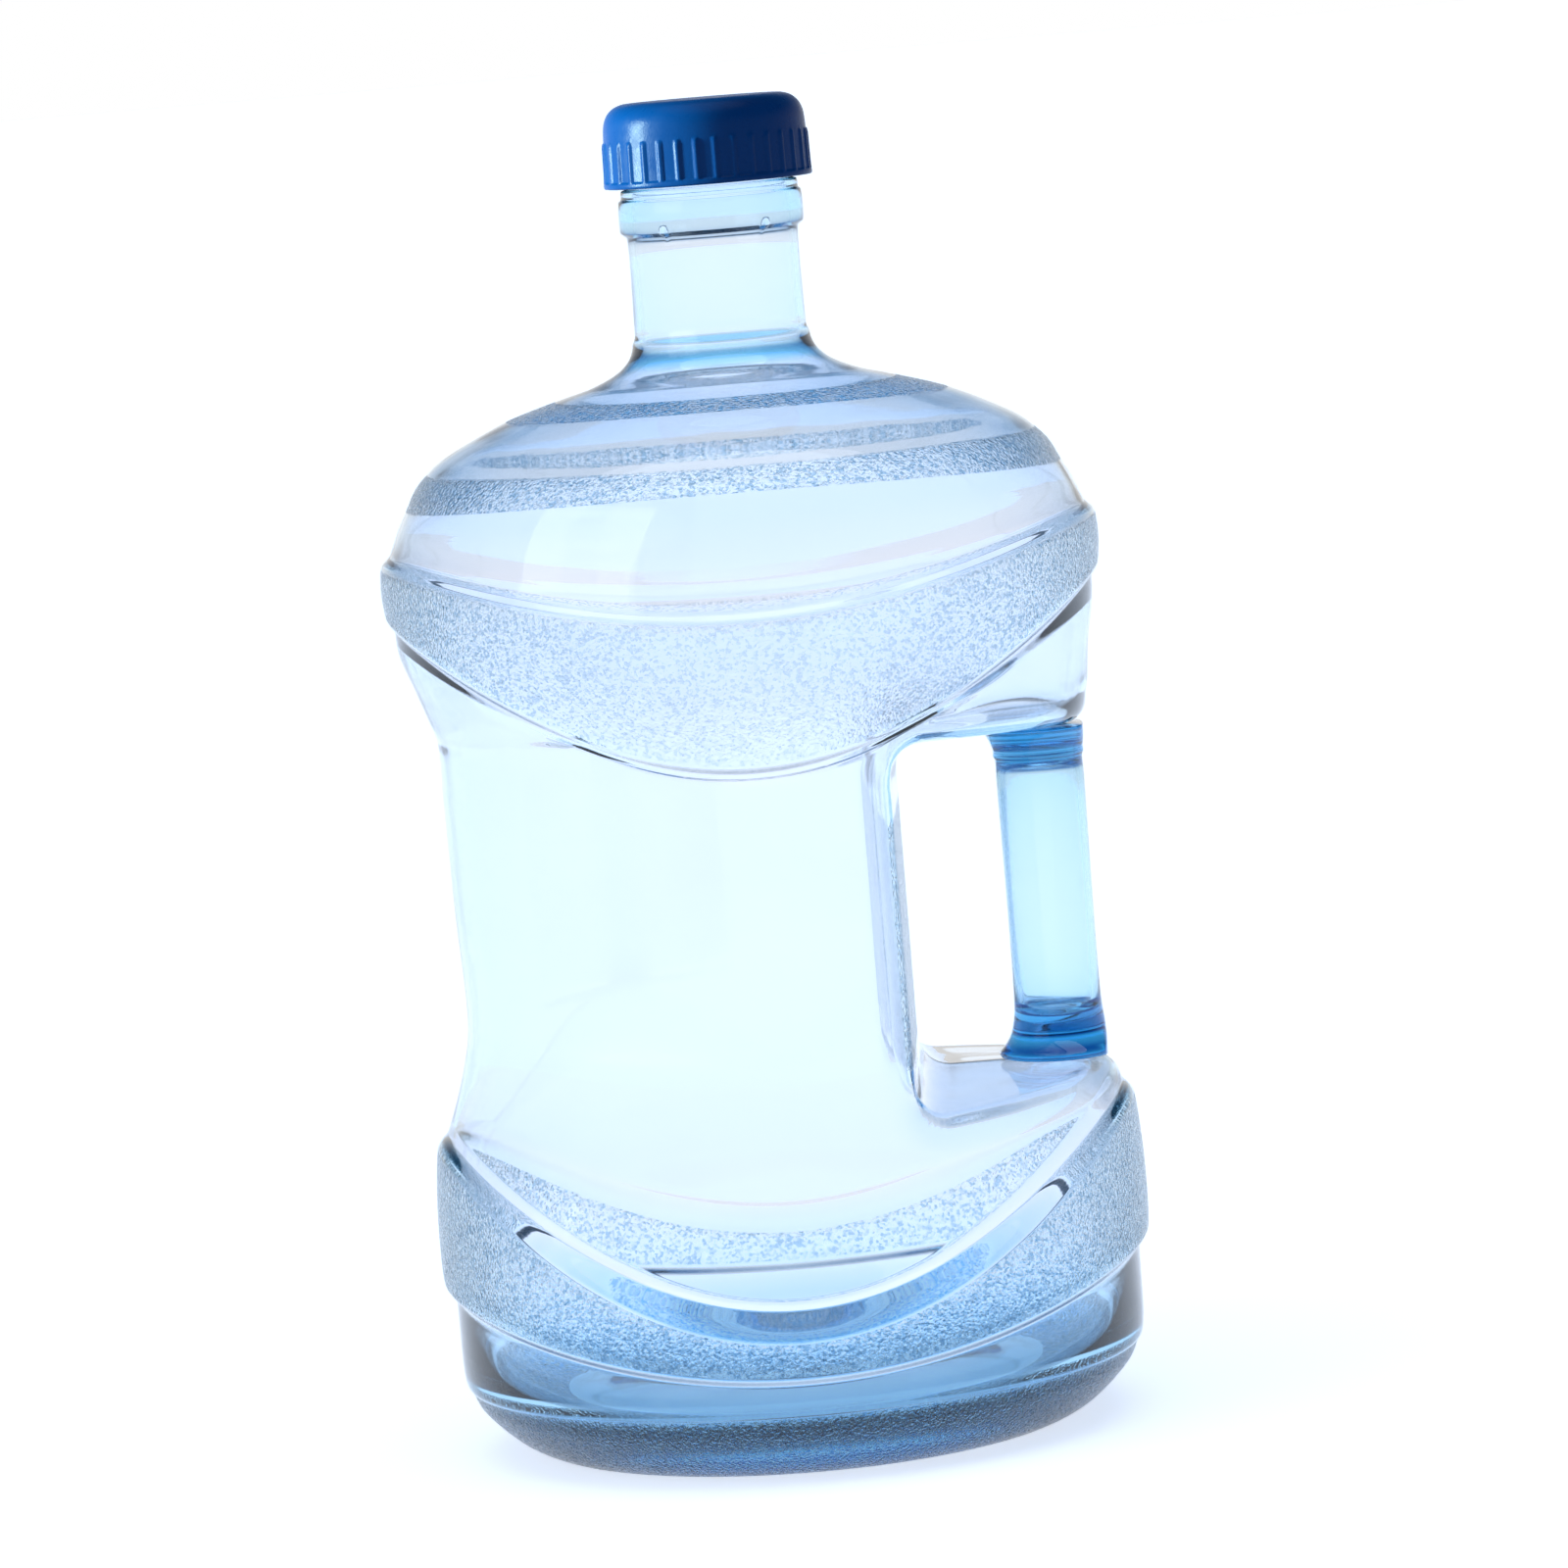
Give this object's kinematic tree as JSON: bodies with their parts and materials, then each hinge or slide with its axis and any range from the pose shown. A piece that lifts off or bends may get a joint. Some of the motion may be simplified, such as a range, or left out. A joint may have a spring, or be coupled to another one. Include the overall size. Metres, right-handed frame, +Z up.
{
  "type": "water jug",
  "caption": "Large clear moulded water jug with frosted wave bands, a drafted hand recess holding a vertical grip bar, and a ribbed screw cap with a sealing disc.",
  "frame": {"origin": "centre of the face the jug stands on, on the jug's own upright axis", "axes": "+Z up along the neck, +X towards the grip, front faces -Y"},
  "size_m": [0.2, 0.1986, 0.3731],
  "materials": {
    "clear_blue_plastic": "clear, with frosted bands",
    "tinted_grip_plastic": "clear, tinted",
    "blue_cap_plastic": "satin",
    "liner_foam": "matt"
  },
  "bodies": {
    "bottle": {"bottle_shell": "clear_blue_plastic", "handle_grip": "tinted_grip_plastic"},
    "liner": {"cap_liner": "liner_foam"},
    "cap": {"cap_shell": "blue_cap_plastic"}
  },
  "joints": [
    {"name": "cap_rise", "type": "slide", "parent": "bottle", "child": "liner", "axis": [0, 0, 1], "range_m": [0, 0.0211]},
    {"name": "cap_turn", "type": "hinge", "parent": "liner", "child": "cap", "pos_m": [0, 0, 0.36], "axis": [0, 0, 1], "range_deg": [0, 1260]}
  ],
  "couplings": [
    {"joint": "cap_rise", "follows": "cap_turn", "m_per_rad": 0.00095493}
  ]
}
